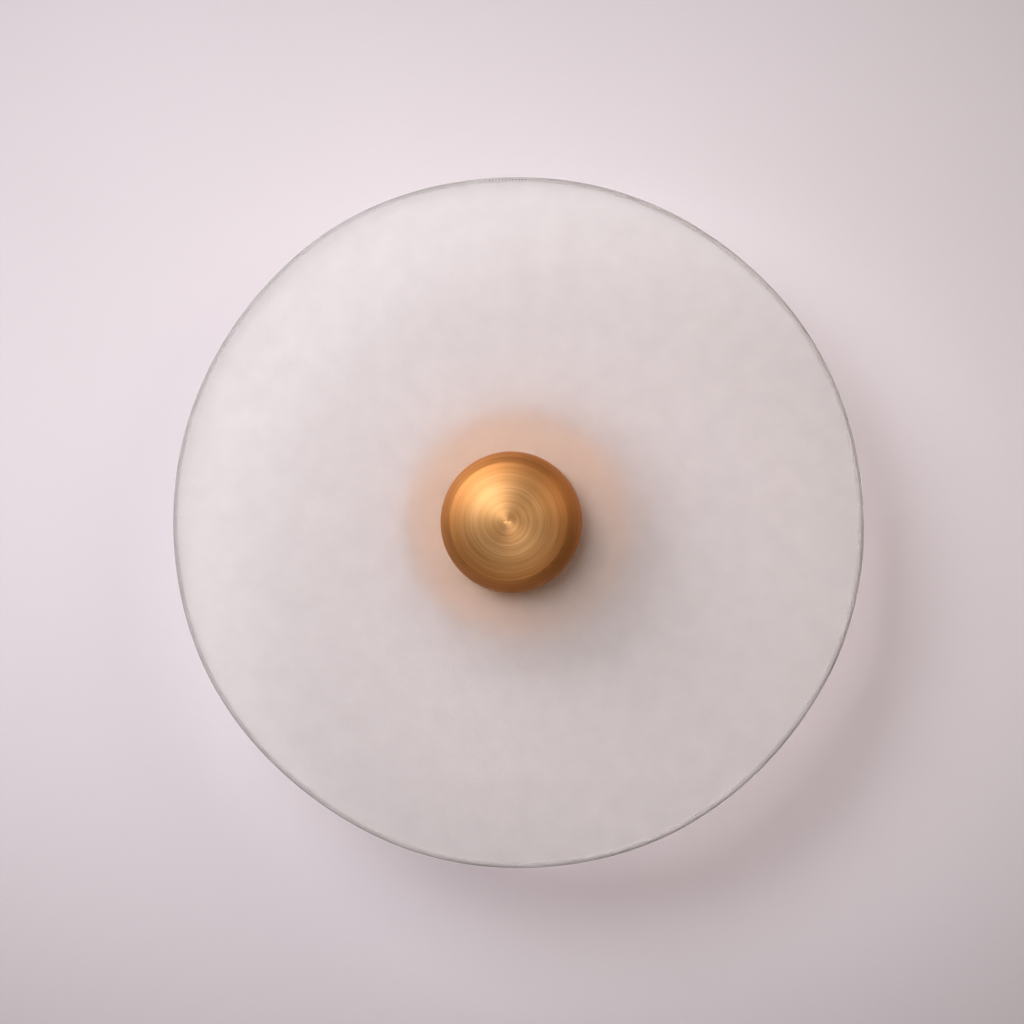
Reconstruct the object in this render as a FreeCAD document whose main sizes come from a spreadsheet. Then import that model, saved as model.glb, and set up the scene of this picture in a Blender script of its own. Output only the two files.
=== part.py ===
import FreeCAD, Part
import math
import os

import Sketcher

# Wall light: a hand-cast satin glass disc stands off the wall in front of a brass canopy,
# and a turned brass dome covers the nut that clamps it. A ring of small light sources in
# the canopy shines forward on to the back of the glass, hidden from the front by the dome.
#
# Row frame: +Z up, +X to the right of somebody facing the light, wall in the plane y = 0,
# light at y < 0. Pieces are drawn in a local frame, where local Z is the distance out from
# the wall, local X is row X and local Y is up. All lengths are in millimetres.

SHEET = "Sizes"

DRIVING_SIZES = [
    # Glass disc. Its rim is a circle with a few low waves, as a hand-cast edge has: each
    # wave has a height and the angle of one of its crests, counter-clockwise from +X.
    ("disc_diameter", 350.0, "mean diameter of the glass"),
    ("glass_thickness", 8.0, "thickness of the glass"),
    ("rim_flat", 0.4, "what its two fire-polished roundings leave of the edge"),
    ("rim_offset_x", 1.1, "rim centre from the drilled hole, to the right"),
    ("rim_offset_y", 0.6, "rim centre from the drilled hole, upwards"),
    ("wave_two_height", 0.65, "oval shape of the rim"),
    ("wave_two_angle", -30.0, "crest of the oval, degrees"),
    ("wave_four_height", 0.25, "four waves round the rim"),
    ("wave_four_angle", 25.0, "crest of the four waves, degrees"),
    ("wave_five_height", 0.2, "five waves round the rim"),
    ("wave_five_angle", -18.0, "crest of the five waves, degrees"),
    ("wave_eight_height", 0.25, "eight waves round the rim"),
    ("wave_eight_angle", -17.0, "crest of the eight waves, degrees"),
    ("glass_hole_diameter", 14.4, "hole drilled for the stem and its bush"),
    # Wall bracket
    ("bracket_width", 22.0, "width of the steel strap"),
    ("bracket_thickness", 2.0, "thickness of the steel strap"),
    ("bracket_bend_radius", 4.0, "outer radius of its two bends"),
    ("bracket_ear_reach", 14.0, "how far the ears stand off the wall"),
    ("bracket_clearance", 0.5, "gap from the ears' corners to the canopy"),
    ("bracket_centre_hole", 10.5, "centre hole of the strap"),
    ("slot_spacing", 70.0, "distance between the two fixing slots' centres"),
    ("slot_length", 24.0, "end-to-end length of a fixing slot"),
    ("slot_width", 4.6, "width of a fixing slot"),
    ("earth_screw_place", 16.0, "bracket's earth screw from the centre"),
    # Canopy
    ("canopy_diameter", 120.0, "outside diameter of the canopy"),
    ("canopy_depth", 34.0, "wall to the canopy's front face"),
    ("canopy_wall", 1.5, "sheet thickness of the canopy"),
    ("canopy_edge_radius", 5.0, "outer radius of its front edge"),
    ("window_diameter", 56.0, "opening in its front face"),
    ("window_clearance", 0.4, "gap round the lens in that opening"),
    # Side screws
    ("side_screw_diameter", 4.0, "thread of the side screws"),
    ("side_screw_length", 10.0, "length under the head"),
    ("side_screw_head_diameter", 7.5, "head diameter"),
    ("side_screw_head_height", 3.0, "head height"),
    ("side_screw_crown", 0.9, "radius round the head's edge"),
    ("side_screw_tip_chamfer", 0.5, "chamfer of the tip"),
    ("side_screw_distance", 8.0, "side screws' axis from the wall"),
    ("side_washer_diameter", 9.0, "nylon washer under the head"),
    ("side_washer_thickness", 0.8, "its thickness"),
    ("notch_clearance", 0.4, "gap round a side screw in the canopy's notch"),
    ("contact_gap", 0.05, "gap between a flat washer and the round canopy"),
    ("thread_clearance", 0.05, "radial clearance of every screw in its hole"),
    ("screw_slot_width", 1.0, "driver slot of the larger screws"),
    ("screw_slot_depth", 1.0, "depth of that slot"),
    ("slot_overrun", 0.5, "how far the driver slots are cut past the heads"),
    # Carrier plate, which is also the heat sink
    ("plate_clearance", 4.5, "gap from the aluminium carrier plate to the canopy's wall"),
    ("plate_thickness", 3.0, "its thickness"),
    ("chamber_depth", 8.5, "plate's front face to the inside of the canopy's front"),
    ("stud_circle_diameter", 90.0, "pitch circle of the canopy's three studs"),
    ("stud_diameter", 3.0, "thread of the studs"),
    ("stud_shoulder_diameter", 6.0, "shoulder that spaces the plate"),
    ("stud_thread_length", 8.0, "thread behind the shoulder"),
    ("stud_nut_flats", 5.5, "across the flats of the stud nuts"),
    ("stud_nut_thickness", 2.4, "thickness of the stud nuts"),
    ("stud_washer_diameter", 7.0, "washers under the stud nuts"),
    ("stud_washer_thickness", 0.5, "their thickness"),
    # Light source and lens
    ("board_clearance", 2.5, "gap from the light board to the lens's skirt"),
    ("board_bore", 26.0, "its centre hole"),
    ("board_thickness", 1.6, "its thickness"),
    ("chip_count", 12, "light sources on the board"),
    ("chip_circle_diameter", 45.0, "their pitch circle"),
    ("chip_length", 3.5, "length of one source, along the radius"),
    ("chip_width", 2.8, "its width"),
    ("chip_height", 0.8, "its height"),
    ("board_screw_circle_diameter", 33.0, "pitch circle of the board's three screws"),
    ("board_screw_diameter", 2.5, "their thread"),
    ("board_screw_head_diameter", 4.4, "their head"),
    ("board_screw_head_height", 1.6, "head height"),
    ("small_slot_width", 0.6, "driver slot of the small screws"),
    ("small_slot_depth", 0.7, "depth of that slot"),
    ("connector_radius", 20.0, "centre of the board's connector from the axis"),
    ("connector_length", 6.0, "connector, along the radius"),
    ("connector_width", 8.0, "connector, across"),
    ("connector_depth", 4.5, "connector behind the board"),
    ("connector_clearance", 0.5, "gap round it in the plate"),
    ("lens_thickness", 2.0, "opal lens"),
    ("lens_flange", 3.0, "how far its skirt lies outside the opening"),
    ("lens_skirt", 1.5, "wall of its skirt"),
    ("lens_recess", 0.4, "lens face behind the canopy's face"),
    ("lens_flange_thickness", 1.5, "flange behind the canopy's front"),
    ("lens_bore_clearance", 0.3, "gap between the lens and the spacer"),
    # Stem and the clamped stack
    ("stem_diameter", 10.0, "threaded brass stem"),
    ("stem_bore", 7.0, "hole through the stem"),
    ("stem_tail", 9.0, "stem behind the plate's front face"),
    ("stem_nut_flats", 14.0, "across the flats of the stem nut"),
    ("stem_nut_thickness", 4.0, "its thickness"),
    ("lock_washer_diameter", 18.0, "lock washer under the stem nut"),
    ("lock_washer_thickness", 0.8, "its thickness"),
    ("spacer_diameter", 24.0, "brass tube between plate and seat"),
    ("spacer_bore", 20.0, "inside of that tube"),
    ("spacer_length", 34.0, "its length"),
    ("seat_diameter", 44.0, "brass flange behind the glass"),
    ("seat_thickness", 3.0, "its thickness"),
    ("seat_pilot_length", 3.0, "pilot that centres it in the spacer"),
    ("seat_chamfer", 0.6, "chamfer of its back edge"),
    ("gasket_thickness", 1.5, "silicone washers on both sides of the glass"),
    ("rear_gasket_diameter", 42.0, "washer behind the glass"),
    ("front_gasket_diameter", 29.0, "washer in front of the glass"),
    ("bush_clearance", 0.1, "gap inside and outside the nylon bush"),
    ("bush_overhang", 1.0, "bush past each face of the glass"),
    ("glass_nut_diameter", 30.0, "knurled nut that clamps the glass"),
    ("glass_nut_thickness", 5.0, "its thickness"),
    ("knurl_count", 40, "grooves round that nut"),
    ("knurl_radius", 0.7, "radius of one groove"),
    # Dome
    ("dome_diameter", 71.0, "outside diameter of the dome"),
    ("dome_height", 23.0, "rim to apex"),
    ("dome_skirt", 4.0, "straight part of its side"),
    ("dome_crease_diameter", 59.2, "crease between the cap and the shoulder"),
    ("dome_crease_height", 17.0, "crease above the rim"),
    ("dome_wall", 2.0, "wall thickness"),
    ("dome_gap", 0.3, "rim above the glass"),
    ("slip_ring_height", 2.5, "height of the slip ring in the rim"),
    ("slip_ring_width", 2.5, "its width along the radius"),
    ("slip_ring_seat", 0.6, "how deep the rim is turned out for it"),
    ("hub_diameter", 18.0, "threaded hub inside the dome"),
    ("hub_pad", 0.7, "extra thickness of the dome over the hub"),
    ("hub_gap", 1.0, "hub above the glass nut"),
    ("hub_end_wall", 1.5, "closed end of the hub"),
    ("hub_end_gap", 1.5, "room past the stem's end"),
    # Driver, terminals and leads
    ("driver_length", 66.0, "driver, along X"),
    ("driver_width", 26.0, "driver, along the local Y"),
    ("driver_depth", 15.0, "driver behind the plate"),
    ("driver_place", 27.5, "driver's centre above the axis"),
    ("driver_corner", 3.0, "radius of its corners"),
    ("driver_screw_spacing", 58.0, "distance between its two screws"),
    ("driver_screw_diameter", 3.0, "their thread"),
    ("driver_screw_head_diameter", 5.6, "their head"),
    ("driver_screw_head_height", 2.0, "head height"),
    ("screw_tip_gap", 0.5, "screw tips short of a plate's far face"),
    ("terminal_length", 32.0, "terminal block, along X"),
    ("terminal_width", 18.0, "terminal block, along the local Y"),
    ("terminal_depth", 13.0, "terminal block behind the plate"),
    ("terminal_place", 26.0, "block's centre below the axis"),
    ("terminal_pitch", 9.0, "distance between its poles"),
    ("terminal_rib", 1.4, "grooves between its poles"),
    ("terminal_screw_diameter", 3.4, "screws of its poles"),
    ("terminal_screw_depth", 4.0, "length of these screws"),
    ("terminal_screw_rows", 9.0, "distance between their two rows"),
    ("terminal_screw_sink", 1.0, "how deep they lie in the block"),
    ("fixing_spacing", 27.0, "distance between the block's two fixings"),
    ("lead_diameter", 2.2, "mains leads"),
    ("led_lead_diameter", 1.6, "leads to the light board"),
    ("led_lead_spacing", 3.2, "distance between these two leads"),
    ("lead_level", 12.0, "leads' axis from the wall"),
    ("lead_bow", 3.5, "how far the mains leads bow sideways"),
    ("lead_sag", 1.0, "how far they bow towards the wall"),
    ("earth_place_x", 30.0, "fixture's earth screw, sideways"),
    ("earth_place_y", 8.0, "fixture's earth screw, below the axis"),
    ("earth_screw_diameter", 4.0, "earth screws' thread"),
    ("earth_screw_head_diameter", 8.0, "their head"),
    ("earth_screw_head_height", 2.6, "head height"),
    ("earth_washer_diameter", 9.0, "cupped washer on the bracket"),
    ("earth_washer_thickness", 0.8, "its thickness"),
    ("ring_thickness", 0.8, "ring terminal's sheet"),
    ("ring_diameter", 8.4, "ring terminal's eye"),
    ("ring_barrel_length", 7.0, "ring terminal's barrel"),
    ("ring_barrel_diameter", 3.2, "barrel's outside"),
]

# How a sketch numbers its axes and the centre of a circle
HORIZONTAL_AXIS_INDEX = -1
VERTICAL_AXIS_INDEX = -2
ORIGIN_POINT_INDEX = (-1, 1)
CENTRE_POINT_INDEX = 3
STUD_ANGLES = (-90, 30, 150)
BOARD_SCREW_ANGLES = (30, 150, 270)
RIM_POINTS = 48
LEAD_ARC_SHARE = 0.45


class Size:
    """A length that keeps its number together with the sheet formula behind it."""

    def __init__(self, value, formula):
        self.value = float(value)
        self.formula = formula

    def __add__(self, other):
        return combine(self, "+", other, self.value + number(other))

    def __sub__(self, other):
        return combine(self, "-", other, self.value - number(other))

    def __mul__(self, other):
        return combine(self, "*", other, self.value * number(other))

    def __truediv__(self, other):
        return combine(self, "/", other, self.value / number(other))

    def __neg__(self):
        return Size(-self.value, "(-1 * %s)" % self.formula)

    def root(self):
        return Size(math.sqrt(self.value), "sqrt(%s)" % self.formula)


def number(item):
    return item.value if isinstance(item, Size) else float(item)


def combine(first, sign, second, value):
    second_formula = second.formula if isinstance(second, Size) else "%.6f" % second
    return Size(value, "(%s %s %s)" % (first.formula, sign, second_formula))


class SizeBook:
    """The driving sizes by name, each as a Size that points at its cell."""

    def __init__(self, rows):
        for alias, value, _note in rows:
            setattr(self, alias, Size(value, "%s.%s" % (SHEET, alias)))


def fill_sheet(doc, rows):
    sheet = doc.addObject("Spreadsheet::Sheet", SHEET)
    for row, (alias, value, note) in enumerate(rows, 1):
        sheet.set("A%d" % row, note)
        sheet.set("B%d" % row, str(value))
        sheet.setAlias("B%d" % row, alias)
    doc.recompute()


def arc_radius(across, rise):
    """Radius of an arc that starts square to 'across' and ends at (across, rise)."""
    return (across * across + rise * rise) / (across * 2)


# Sketching


def origin_part(body, role):
    return next(item for item in body.Origin.OriginFeatures if item.Role == role)


def bind(item, path, size):
    item.setExpression(path, size.formula)


def add_body(label, separate_solids=False):
    body = doc.addObject("PartDesign::Body", label)
    body.Label = label
    body.AllowCompound = separate_solids
    body.Placement = FreeCAD.Placement(FreeCAD.Vector(), WALL_TURN)
    return body


def add_sketch(body, name, role="XY_Plane", height=None):
    sketch = body.newObject("Sketcher::SketchObject", name)
    sketch.AttachmentSupport = [(origin_part(body, role), "")]
    sketch.MapMode = "FlatFace"
    if isinstance(height, Size):
        sketch.AttachmentOffset = FreeCAD.Placement(FreeCAD.Vector(0, 0, height.value), FreeCAD.Rotation())
        bind(sketch, "AttachmentOffset.Base.z", height)
    return sketch


def constrain(sketch, kind, size, *references):
    index = sketch.addConstraint(Sketcher.Constraint(kind, *references, size.value))
    name = "size_%d_%s" % (index, kind.lower())
    sketch.renameConstraint(index, name)
    bind(sketch, "Constraints." + name, size)


def pin_point(sketch, geometry, point, x, y):
    """Hold a point of the sketch at (x, y); a plain 0 puts it on the sketch's axis."""
    ways = (("DistanceX", VERTICAL_AXIS_INDEX, x), ("DistanceY", HORIZONTAL_AXIS_INDEX, y))
    for kind, axis, place in ways:
        if isinstance(place, Size):
            constrain(sketch, kind, place, *ORIGIN_POINT_INDEX, geometry, point)
        else:
            sketch.addConstraint(Sketcher.Constraint("PointOnObject", geometry, point, axis))


def draw_circle(sketch, x, y, radius):
    centre = FreeCAD.Vector(number(x), number(y), 0)
    circle = Part.Circle(centre, FreeCAD.Vector(0, 0, 1), radius.value)
    index = sketch.addGeometry(circle, False)
    constrain(sketch, "Radius", radius, index)
    pin_point(sketch, index, CENTRE_POINT_INDEX, x, y)


def arc_between(start, end, radius, turn):
    """Minor arc from start to end, turning left for turn = 1 and right for turn = -1."""
    chord = end - start
    left = FreeCAD.Vector(-chord.y, chord.x, 0).normalize()
    offset = math.sqrt(max(radius * radius - chord.Length ** 2 / 4, 0))
    centre = (start + end) * 0.5 + left * offset * turn
    first, last = (start, end) if turn > 0 else (end, start)
    first_angle = math.atan2(first.y - centre.y, first.x - centre.x)
    last_angle = math.atan2(last.y - centre.y, last.x - centre.x)
    if last_angle < first_angle:
        last_angle += 2 * math.pi
    circle = Part.Circle(centre, FreeCAD.Vector(0, 0, 1), radius)
    return Part.ArcOfCircle(circle, first_angle, last_angle)


def draw_outline(sketch, corners):
    """Closed loop through the corners, given as (x, y), or as (x, y, radius, turn) where
    an arc leads to the corner. Every corner is held by its own two sizes."""
    places = [FreeCAD.Vector(number(corner[0]), number(corner[1]), 0) for corner in corners]
    ends = []
    for index, corner in enumerate(corners):
        start, end = places[index - 1], places[index]
        if len(corner) == 2:
            geometry = sketch.addGeometry(Part.LineSegment(start, end), False)
            ends.append((geometry, 1, 2))
        else:
            radius, turn = corner[2:]
            geometry = sketch.addGeometry(arc_between(start, end, radius.value, turn), False)
            ends.append((geometry, 1, 2) if turn > 0 else (geometry, 2, 1))
            constrain(sketch, "Radius", radius, geometry)
    for index, (geometry, _first, last) in enumerate(ends):
        following, following_first, _last = ends[(index + 1) % len(ends)]
        join = Sketcher.Constraint("Coincident", geometry, last, following, following_first)
        sketch.addConstraint(join)
        pin_point(sketch, geometry, last, *corners[index][:2])


def draw_rectangle(sketch, x_low, x_high, y_low, y_high):
    draw_outline(sketch, [(x_low, y_low), (x_high, y_low), (x_high, y_high), (x_low, y_high)])


def draw_rounded_rectangle(sketch, x_low, x_high, y_low, y_high, radius):
    draw_outline(sketch, [
        (x_high - radius, y_low),
        (x_high, y_low + radius, radius, 1),
        (x_high, y_high - radius),
        (x_high - radius, y_high, radius, 1),
        (x_low + radius, y_high),
        (x_low, y_high - radius, radius, 1),
        (x_low, y_low + radius),
        (x_low + radius, y_low, radius, 1),
    ])


def draw_slot(sketch, x, length, width):
    """Round-ended slot along X, centred at (x, 0)."""
    end = width / 2
    straight = length / 2 - end
    draw_outline(sketch, [
        (x + straight, -end),
        (x + straight + end, 0, end, 1),
        (x + straight, end, end, 1),
        (x - straight, end),
        (x - straight - end, 0, end, 1),
        (x - straight, -end, end, 1),
    ])


def draw_hexagon(sketch, x, y, flats):
    corner_radius = flats / math.sqrt(3)
    corners = []
    for step in range(6):
        angle = math.radians(60 * step + 30)
        corner_x = corner_radius * math.cos(angle)
        corner_y = corner_radius * math.sin(angle)
        corners.append((corner_x if is_axis(x) else x + corner_x, corner_y if is_axis(y) else y + corner_y))
    draw_outline(sketch, corners)


def is_axis(place):
    return not isinstance(place, Size)


def round_places(circle, angles):
    """Places on a pitch circle, at angles in degrees from local X."""
    places = []
    for angle in angles:
        turn = math.radians(angle)
        x = 0 if abs(math.cos(turn)) < 1e-9 else circle / 2 * math.cos(turn)
        y = 0 if abs(math.sin(turn)) < 1e-9 else circle / 2 * math.sin(turn)
        places.append((x, y))
    return places


# Solid features. Heights are distances from the wall: low is nearer to it.


def add_pad(body, name, sketch, length):
    pad = body.newObject("PartDesign::Pad", name)
    pad.Profile = sketch
    bind(pad, "Length", length)
    doc.recompute()
    return pad


def add_pocket(body, name, sketch, length):
    pocket = body.newObject("PartDesign::Pocket", name)
    pocket.Profile = sketch
    bind(pocket, "Length", length)
    doc.recompute()
    return pocket


def cut_right_through(body, name, sketch):
    pocket = body.newObject("PartDesign::Pocket", name)
    pocket.Profile = sketch
    pocket.Type = "ThroughAll"
    pocket.Midplane = True
    doc.recompute()
    return pocket


def turn_profile(body, name, corners):
    """Turned piece: the profile's corners are (radius, height)."""
    sketch = add_sketch(body, name + "_profile", "XZ_Plane")
    draw_outline(sketch, corners)
    revolution = body.newObject("PartDesign::Revolution", name)
    revolution.Profile = sketch
    revolution.ReferenceAxis = (sketch, ["V_Axis"])
    revolution.Angle = 360
    doc.recompute()
    return revolution


def add_discs(body, name, places, radius, low, high):
    sketch = add_sketch(body, name + "_circles", height=low)
    for x, y in places:
        draw_circle(sketch, x, y, radius)
    return add_pad(body, name, sketch, high - low)


def cut_discs(body, name, places, radius, low, high):
    sketch = add_sketch(body, name + "_circles", height=high)
    for x, y in places:
        draw_circle(sketch, x, y, radius)
    return add_pocket(body, name, sketch, high - low)


def add_rings(body, name, places, outer_radius, inner_radius, low, high):
    sketch = add_sketch(body, name + "_circles", height=low)
    for x, y in places:
        draw_circle(sketch, x, y, outer_radius)
        draw_circle(sketch, x, y, inner_radius)
    return add_pad(body, name, sketch, high - low)


def cut_driver_slots(body, places, width, depth, length, face, faces_wall):
    """Straight driver slots across screw heads whose face is at height 'face'."""
    sketch = add_sketch(body, "driver_slot_outlines", height=face + depth if faces_wall else face)
    for x, y in places:
        x_low = -length / 2 if is_axis(x) else x - length / 2
        x_high = length / 2 if is_axis(x) else x + length / 2
        y_low = -width / 2 if is_axis(y) else y - width / 2
        y_high = width / 2 if is_axis(y) else y + width / 2
        draw_rectangle(sketch, x_low, x_high, y_low, y_high)
    return add_pocket(body, "driver_slots", sketch, depth)


def make_screws(label, places, seat, tip, shank_diameter, head_diameter, head_height,
                slot_width, slot_depth):
    """Screws along local Z: their heads lie on the side of 'seat' away from 'tip'."""
    body = add_body(label, separate_solids=len(places) > 1)
    faces_wall = tip.value > seat.value
    if faces_wall:
        add_discs(body, "heads", places, head_diameter / 2, seat - head_height, seat)
        add_discs(body, "shanks", places, shank_diameter / 2, seat, tip)
        face = seat - head_height
    else:
        add_discs(body, "shanks", places, shank_diameter / 2, tip, seat)
        add_discs(body, "heads", places, head_diameter / 2, seat, seat + head_height)
        face = seat + head_height
    slot_length = head_diameter + sizes.slot_overrun * 2
    cut_driver_slots(body, places, slot_width, slot_depth, slot_length, face, faces_wall)
    return body


# Sub-parts on the wall


def make_wall_bracket():
    """Steel strap bent into two ears; slots for wall or box screws, tapped holes in the ears."""
    body = add_body("wall_bracket")
    thickness = sizes.bracket_thickness
    bend = sizes.bracket_bend_radius
    inner_bend = bend - thickness
    reach = sizes.bracket_ear_reach
    half = ear_face
    sketch = add_sketch(body, "strap_profile", "XZ_Plane")
    draw_outline(sketch, [
        (half - bend, 0),
        (half, bend, bend, 1),
        (half, reach),
        (half - thickness, reach),
        (half - thickness, bend),
        (half - bend, thickness, inner_bend, -1),
        (bend - half, thickness),
        (thickness - half, bend, inner_bend, -1),
        (thickness - half, reach),
        (-half, reach),
        (-half, bend),
        (bend - half, 0, bend, 1),
    ])
    strap = body.newObject("PartDesign::Pad", "strap")
    strap.Profile = sketch
    strap.Midplane = True
    bind(strap, "Length", sizes.bracket_width)
    doc.recompute()

    slots = add_sketch(body, "fixing_slot_outlines", height=thickness)
    for side in (-1, 1):
        draw_slot(slots, sizes.slot_spacing * (side / 2), sizes.slot_length, sizes.slot_width)
    add_pocket(body, "fixing_slots", slots, thickness)
    cut_discs(body, "centre_hole", [(0, 0)], sizes.bracket_centre_hole / 2, wall_level, thickness)
    earth_radius = sizes.earth_screw_diameter / 2 + sizes.thread_clearance
    cut_discs(body, "earth_hole", [(sizes.earth_screw_place, 0)], earth_radius, wall_level, thickness)

    holes = add_sketch(body, "ear_hole_circle", "YZ_Plane")
    ear_radius = sizes.side_screw_diameter / 2 + sizes.thread_clearance
    draw_circle(holes, 0, sizes.side_screw_distance, ear_radius)
    cut_right_through(body, "ear_holes", holes)


def make_bracket_earth():
    """Screw and washer on the bracket for the building's earth wire."""
    place = [(sizes.earth_screw_place, 0)]
    washer_front = sizes.bracket_thickness + sizes.earth_washer_thickness
    washer = add_body("earth_washer")
    hole_radius = sizes.earth_screw_diameter / 2 + sizes.thread_clearance
    add_rings(washer, "washer", place, sizes.earth_washer_diameter / 2, hole_radius,
              sizes.bracket_thickness, washer_front)
    make_screws("earth_screw", place, washer_front, sizes.screw_tip_gap, sizes.earth_screw_diameter,
                sizes.earth_screw_head_diameter, sizes.earth_screw_head_height,
                sizes.screw_slot_width, sizes.screw_slot_depth)


def make_side_screw(side, direction):
    """Brass screw through the canopy's notch into the bracket's ear, with its nylon washer.
    Both are drawn along their own Z, which points away from the light's axis."""
    turn = FreeCAD.Rotation(FreeCAD.Vector(0, 1, 0), 90 * direction)
    canopy_side = sizes.canopy_diameter / 2 + sizes.contact_gap
    seat = canopy_side + sizes.side_washer_thickness
    shank = sizes.side_screw_diameter / 2
    head = sizes.side_screw_head_diameter / 2
    top = sizes.side_screw_head_height
    tip_chamfer = sizes.side_screw_tip_chamfer
    crown = sizes.side_screw_crown

    screw = add_body("side_screw_" + side)
    turn_profile(screw, "screw", [
        (0, -sizes.side_screw_length),
        (shank - tip_chamfer, -sizes.side_screw_length),
        (shank, tip_chamfer - sizes.side_screw_length),
        (shank, 0),
        (head, 0),
        (head, top - crown),
        (head - crown, top, crown, 1),
        (0, top),
    ])
    slot = add_sketch(screw, "driver_slot_outline", height=top)
    half_slot = head + sizes.slot_overrun
    draw_rectangle(slot, -half_slot, half_slot, -sizes.screw_slot_width / 2, sizes.screw_slot_width / 2)
    add_pocket(screw, "driver_slot", slot, sizes.screw_slot_depth)

    washer = add_body("side_washer_" + side)
    add_rings(washer, "washer", [(0, 0)], sizes.side_washer_diameter / 2,
              shank + sizes.thread_clearance, -sizes.side_washer_thickness, wall_level)
    for body in (screw, washer):
        body.Placement = FreeCAD.Placement(FreeCAD.Vector(), turn)
        bind(body, "Placement.Base.x", seat * direction)
        bind(body, "Placement.Base.y", -sizes.side_screw_distance)


# Sub-parts of the canopy


def make_canopy():
    """Spun brass cup, open at the wall, with a round window and two notches for the side screws."""
    body = add_body("canopy")
    outer = sizes.canopy_diameter / 2
    wall = sizes.canopy_wall
    edge = sizes.canopy_edge_radius
    inner_edge = edge - wall
    depth = sizes.canopy_depth
    window = sizes.window_diameter / 2
    turn_profile(body, "cup", [
        (outer, 0),
        (outer, depth - edge),
        (outer - edge, depth, edge, 1),
        (window, depth),
        (window, depth - wall),
        (outer - edge, depth - wall),
        (outer - wall, depth - edge, inner_edge, -1),
        (outer - wall, 0),
    ])
    notch_radius = sizes.side_screw_diameter / 2 + sizes.notch_clearance
    notch_floor = sizes.side_screw_distance
    notch = add_sketch(body, "notch_outline", "YZ_Plane")
    draw_outline(notch, [
        (notch_radius, -wall),
        (notch_radius, notch_floor),
        (0, notch_floor + notch_radius, notch_radius, 1),
        (-notch_radius, notch_floor, notch_radius, 1),
        (-notch_radius, -wall),
    ])
    cut_right_through(body, "side_screw_notches", notch)


def make_studs():
    """Three shouldered studs soldered inside the canopy's front, with washers and nuts."""
    places = round_places(sizes.stud_circle_diameter, STUD_ANGLES)
    studs = add_body("canopy_studs", separate_solids=True)
    stud_end = plate_front - sizes.stud_thread_length
    add_discs(studs, "shoulders", places, sizes.stud_shoulder_diameter / 2, plate_front, canopy_inside)
    add_discs(studs, "threads", places, sizes.stud_diameter / 2, stud_end, plate_front)

    hole_radius = sizes.stud_diameter / 2 + sizes.thread_clearance
    washer_back = plate_back - sizes.stud_washer_thickness
    washers = add_body("stud_washers", separate_solids=True)
    add_rings(washers, "washers", places, sizes.stud_washer_diameter / 2, hole_radius,
              washer_back, plate_back)

    nut_back = washer_back - sizes.stud_nut_thickness
    nuts = add_body("stud_nuts", separate_solids=True)
    sketch = add_sketch(nuts, "nut_outlines", height=nut_back)
    for x, y in places:
        draw_hexagon(sketch, x, y, sizes.stud_nut_flats)
        draw_circle(sketch, x, y, hole_radius)
    add_pad(nuts, "nuts", sketch, sizes.stud_nut_thickness)


def make_carrier_plate():
    """Round aluminium plate that carries the stem, the light board, the driver and the terminals."""
    body = add_body("carrier_plate")
    clearance = sizes.thread_clearance
    add_discs(body, "plate", [(0, 0)], plate_radius, plate_back, plate_front)
    hole_groups = [
        ("stem_hole", [(0, 0)], sizes.stem_diameter),
        ("stud_holes", round_places(sizes.stud_circle_diameter, STUD_ANGLES), sizes.stud_diameter),
        ("board_screw_holes", round_places(sizes.board_screw_circle_diameter, BOARD_SCREW_ANGLES),
         sizes.board_screw_diameter),
        ("driver_screw_holes", driver_screw_places(), sizes.driver_screw_diameter),
        ("terminal_fixing_holes", terminal_fixing_places(), sizes.driver_screw_diameter),
        ("earth_hole", [fixture_earth_place()], sizes.earth_screw_diameter),
    ]
    for name, places, diameter in hole_groups:
        cut_discs(body, name, places, diameter / 2 + clearance, plate_back, plate_front)
    window = add_sketch(body, "connector_window_outline", height=plate_front)
    draw_connector_outline(window, sizes.connector_clearance)
    add_pocket(body, "connector_window", window, sizes.plate_thickness)


def draw_connector_outline(sketch, margin):
    """Connector's outline, grown by a margin, on the left of the axis."""
    half_length = sizes.connector_length / 2 + margin
    half_width = sizes.connector_width / 2 + margin
    draw_rectangle(sketch, -sizes.connector_radius - half_length, half_length - sizes.connector_radius,
                   -half_width, half_width)


def make_light_board():
    """Ring-shaped board with its light sources, screws and the connector at its back."""
    board_front = plate_front + sizes.board_thickness
    screw_places = round_places(sizes.board_screw_circle_diameter, BOARD_SCREW_ANGLES)
    skirt_bore = sizes.window_diameter / 2 + sizes.lens_flange - sizes.lens_skirt
    board = add_body("light_board")
    add_rings(board, "board", [(0, 0)], skirt_bore - sizes.board_clearance, sizes.board_bore / 2,
              plate_front, board_front)
    hole_radius = sizes.board_screw_diameter / 2 + sizes.thread_clearance
    cut_discs(board, "screw_holes", screw_places, hole_radius, plate_front, board_front)

    chips = add_body("light_chips", separate_solids=True)
    sketch = add_sketch(chips, "chip_outline", height=board_front)
    chip_place = sizes.chip_circle_diameter / 2
    draw_rectangle(sketch, chip_place - sizes.chip_length / 2, chip_place + sizes.chip_length / 2,
                   -sizes.chip_width / 2, sizes.chip_width / 2)
    chip = add_pad(chips, "chip", sketch, sizes.chip_height)
    repeat_round(chips, "chip_ring", chip, sizes.chip_count)

    make_screws("board_screws", screw_places, board_front, plate_back + sizes.screw_tip_gap,
                sizes.board_screw_diameter, sizes.board_screw_head_diameter, sizes.board_screw_head_height,
                sizes.small_slot_width, sizes.small_slot_depth)

    connector = add_body("board_connector")
    outline = add_sketch(connector, "connector_outline", height=plate_front - sizes.connector_depth)
    draw_connector_outline(outline, no_margin)
    add_pad(connector, "housing", outline, sizes.connector_depth)


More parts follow.
